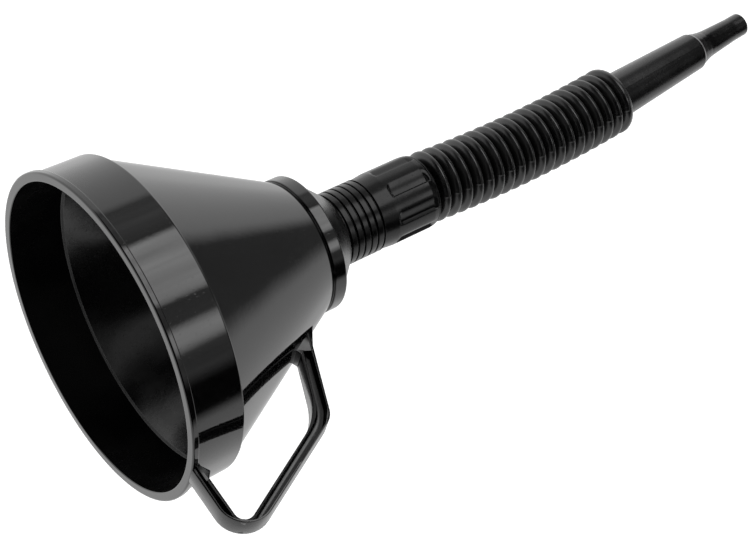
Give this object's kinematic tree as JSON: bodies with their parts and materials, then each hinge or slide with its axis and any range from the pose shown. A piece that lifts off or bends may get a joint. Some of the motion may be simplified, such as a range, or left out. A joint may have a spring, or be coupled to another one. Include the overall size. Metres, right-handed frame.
{
  "type": "funnel",
  "caption": "Wide plastic pouring funnel with a loop handle, a lift-out gauze filter and a turning bellows spout with a stepped nozzle.",
  "frame": {"origin": "centre of the mouth, in the plane of the rim", "axes": "+Z out of the mouth, the spout hangs along -Z, +X through the middle of the handle"},
  "size_m": [0.1942, 0.16, 0.4111],
  "materials": {
    "bowl_plastic": "glossy moulded polypropylene",
    "spout_plastic": "satin blown polyethylene",
    "nozzle_plastic": "satin moulded polyethylene",
    "filter_plastic": "satin moulded plastic",
    "brass_gauze": "woven wire"
  },
  "bodies": {
    "bowl": {"bowl": "bowl_plastic", "handle": "bowl_plastic"},
    "filter": {"filter_ring": "filter_plastic", "filter_gauze": "brass_gauze", "filter_retainer": "filter_plastic"},
    "spout": {"ribbed_cuff": "spout_plastic", "grip_collar": "spout_plastic"},
    "fold_01": {"bellows_ring_01": "spout_plastic"},
    "fold_02": {"bellows_ring_02": "spout_plastic"},
    "fold_03": {"bellows_ring_03": "spout_plastic"},
    "fold_04": {"bellows_ring_04": "spout_plastic"},
    "fold_05": {"bellows_ring_05": "spout_plastic"},
    "fold_06": {"bellows_ring_06": "spout_plastic"},
    "fold_07": {"bellows_ring_07": "spout_plastic"},
    "fold_08": {"bellows_ring_08": "spout_plastic"},
    "fold_09": {"bellows_ring_09": "spout_plastic"},
    "fold_10": {"bellows_ring_10": "spout_plastic"},
    "fold_11": {"bellows_ring_11": "spout_plastic"},
    "fold_12": {"bellows_ring_12": "spout_plastic"},
    "fold_13": {"bellows_ring_13": "spout_plastic"},
    "fold_14": {"bellows_ring_14": "spout_plastic"},
    "fold_15": {"bellows_ring_15": "spout_plastic"},
    "fold_16": {"bellows_ring_16": "spout_plastic"},
    "fold_17": {"bellows_ring_17": "spout_plastic"},
    "fold_18": {"bellows_ring_18": "spout_plastic"},
    "tip": {"bellows_end": "spout_plastic", "nozzle": "nozzle_plastic"}
  },
  "joints": [
    {"name": "filter_lift", "type": "slide", "parent": "bowl", "child": "filter", "axis": [0, 0, 1], "range_m": [0, 0.125]},
    {"name": "spout_turn", "type": "hinge", "parent": "bowl", "child": "spout", "pos_m": [0, 0, -0.14], "axis": [0, 0, 1], "continuous": true},
    {"name": "bellows_bend", "type": "hinge", "parent": "spout", "child": "fold_01", "pos_m": [0, 0, -0.1867], "axis": [0.4226, 0.9063, 0], "range_deg": [-4.5, 4.5], "stiffness_Nm_per_rad": 1.5},
    {"name": "fold_02_bend", "type": "hinge", "parent": "fold_01", "child": "fold_02", "pos_m": [0.00035, -0.00016, -0.19327], "axis": [0.4226, 0.9063, 0], "range_deg": [-4.5, 4.5], "stiffness_Nm_per_rad": 1.5},
    {"name": "fold_03_bend", "type": "hinge", "parent": "fold_02", "child": "fold_03", "pos_m": [0.00066, -0.00031, -0.19984], "axis": [0.4226, 0.9063, 0], "range_deg": [-4.5, 4.5], "stiffness_Nm_per_rad": 1.5},
    {"name": "fold_04_bend", "type": "hinge", "parent": "fold_03", "child": "fold_04", "pos_m": [0.00092, -0.00043, -0.20641], "axis": [0.4226, 0.9063, 0], "range_deg": [-4.5, 4.5], "stiffness_Nm_per_rad": 1.5},
    {"name": "fold_05_bend", "type": "hinge", "parent": "fold_04", "child": "fold_05", "pos_m": [0.00114, -0.00053, -0.21299], "axis": [0.4226, 0.9063, 0], "range_deg": [-4.5, 4.5], "stiffness_Nm_per_rad": 1.5},
    {"name": "fold_06_bend", "type": "hinge", "parent": "fold_05", "child": "fold_06", "pos_m": [0.00131, -0.00061, -0.21957], "axis": [0.4226, 0.9063, 0], "range_deg": [-4.5, 4.5], "stiffness_Nm_per_rad": 1.5},
    {"name": "fold_07_bend", "type": "hinge", "parent": "fold_06", "child": "fold_07", "pos_m": [0.00144, -0.00067, -0.22615], "axis": [0.4226, 0.9063, 0], "range_deg": [-4.5, 4.5], "stiffness_Nm_per_rad": 1.5},
    {"name": "fold_08_bend", "type": "hinge", "parent": "fold_07", "child": "fold_08", "pos_m": [0.00152, -0.00071, -0.23272], "axis": [0.4226, 0.9063, 0], "range_deg": [-4.5, 4.5], "stiffness_Nm_per_rad": 1.5},
    {"name": "fold_09_bend", "type": "hinge", "parent": "fold_08", "child": "fold_09", "pos_m": [0.00155, -0.00072, -0.2393], "axis": [0.4226, 0.9063, 0], "range_deg": [-4.5, 4.5], "stiffness_Nm_per_rad": 1.5},
    {"name": "fold_10_bend", "type": "hinge", "parent": "fold_09", "child": "fold_10", "pos_m": [0.00154, -0.00072, -0.24588], "axis": [0.4226, 0.9063, 0], "range_deg": [-4.5, 4.5], "stiffness_Nm_per_rad": 1.5},
    {"name": "fold_11_bend", "type": "hinge", "parent": "fold_10", "child": "fold_11", "pos_m": [0.00148, -0.00069, -0.25246], "axis": [0.4226, 0.9063, 0], "range_deg": [-4.5, 4.5], "stiffness_Nm_per_rad": 1.5},
    {"name": "fold_12_bend", "type": "hinge", "parent": "fold_11", "child": "fold_12", "pos_m": [0.00137, -0.00064, -0.25904], "axis": [0.4226, 0.9063, 0], "range_deg": [-4.5, 4.5], "stiffness_Nm_per_rad": 1.5},
    {"name": "fold_13_bend", "type": "hinge", "parent": "fold_12", "child": "fold_13", "pos_m": [0.00122, -0.00057, -0.26562], "axis": [0.4226, 0.9063, 0], "range_deg": [-4.5, 4.5], "stiffness_Nm_per_rad": 1.5},
    {"name": "fold_14_bend", "type": "hinge", "parent": "fold_13", "child": "fold_14", "pos_m": [0.00103, -0.00048, -0.2722], "axis": [0.4226, 0.9063, 0], "range_deg": [-4.5, 4.5], "stiffness_Nm_per_rad": 1.5},
    {"name": "fold_15_bend", "type": "hinge", "parent": "fold_14", "child": "fold_15", "pos_m": [0.00079, -0.00037, -0.27877], "axis": [0.4226, 0.9063, 0], "range_deg": [-4.5, 4.5], "stiffness_Nm_per_rad": 1.5},
    {"name": "fold_16_bend", "type": "hinge", "parent": "fold_15", "child": "fold_16", "pos_m": [0.0005, -0.00023, -0.28534], "axis": [0.4226, 0.9063, 0], "range_deg": [-4.5, 4.5], "stiffness_Nm_per_rad": 1.5},
    {"name": "fold_17_bend", "type": "hinge", "parent": "fold_16", "child": "fold_17", "pos_m": [0.00017, -0.00008, -0.29191], "axis": [0.4226, 0.9063, 0], "range_deg": [-4.5, 4.5], "stiffness_Nm_per_rad": 1.5},
    {"name": "fold_18_bend", "type": "hinge", "parent": "fold_17", "child": "fold_18", "pos_m": [-0.00021, 0.0001, -0.29848], "axis": [0.4226, 0.9063, 0], "range_deg": [-4.5, 4.5], "stiffness_Nm_per_rad": 1.5},
    {"name": "tip_bend", "type": "hinge", "parent": "fold_18", "child": "tip", "pos_m": [-0.00064, 0.0003, -0.30504], "axis": [0.4226, 0.9063, 0], "range_deg": [-4.5, 4.5], "stiffness_Nm_per_rad": 1.5}
  ],
  "couplings": [
    {"joint": "fold_02_bend", "follows": "bellows_bend", "ratio": 1},
    {"joint": "fold_03_bend", "follows": "bellows_bend", "ratio": 1},
    {"joint": "fold_04_bend", "follows": "bellows_bend", "ratio": 1},
    {"joint": "fold_05_bend", "follows": "bellows_bend", "ratio": 1},
    {"joint": "fold_06_bend", "follows": "bellows_bend", "ratio": 1},
    {"joint": "fold_07_bend", "follows": "bellows_bend", "ratio": 1},
    {"joint": "fold_08_bend", "follows": "bellows_bend", "ratio": 1},
    {"joint": "fold_09_bend", "follows": "bellows_bend", "ratio": 1},
    {"joint": "fold_10_bend", "follows": "bellows_bend", "ratio": 1},
    {"joint": "fold_11_bend", "follows": "bellows_bend", "ratio": 1},
    {"joint": "fold_12_bend", "follows": "bellows_bend", "ratio": 1},
    {"joint": "fold_13_bend", "follows": "bellows_bend", "ratio": 1},
    {"joint": "fold_14_bend", "follows": "bellows_bend", "ratio": 1},
    {"joint": "fold_15_bend", "follows": "bellows_bend", "ratio": 1},
    {"joint": "fold_16_bend", "follows": "bellows_bend", "ratio": 1},
    {"joint": "fold_17_bend", "follows": "bellows_bend", "ratio": 1},
    {"joint": "fold_18_bend", "follows": "bellows_bend", "ratio": 1},
    {"joint": "tip_bend", "follows": "bellows_bend", "ratio": 1}
  ]
}
